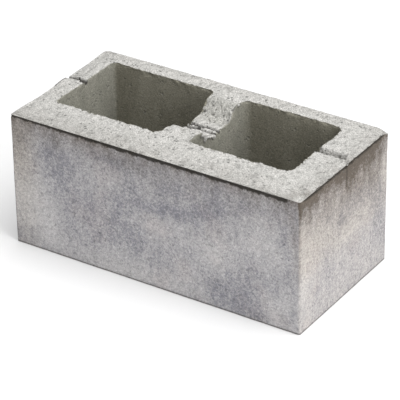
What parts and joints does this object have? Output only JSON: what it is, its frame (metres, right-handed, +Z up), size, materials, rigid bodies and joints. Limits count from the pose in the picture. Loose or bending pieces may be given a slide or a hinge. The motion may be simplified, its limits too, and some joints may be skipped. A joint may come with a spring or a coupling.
{
  "type": "concrete block",
  "caption": "Hollow concrete masonry block with tapered cores, a thick front face shell and right end web, a lowered middle web and core-bar slots across the top.",
  "frame": {"origin": "centre of the lower bed face, on the surface the block rests on", "axes": "+X along the length towards the thick end web, +Y across the width from the thick face shell to the thin one, +Z up towards the bed face with the core-bar slots"},
  "size_m": [0.4, 0.2, 0.175],
  "materials": {
    "concrete": "dry-cast grey concrete, fine sandy grain with small open pits, pale top, mottled faces and darker core walls"
  },
  "bodies": {
    "root": {"concrete_block": "concrete"}
  },
  "joints": []
}
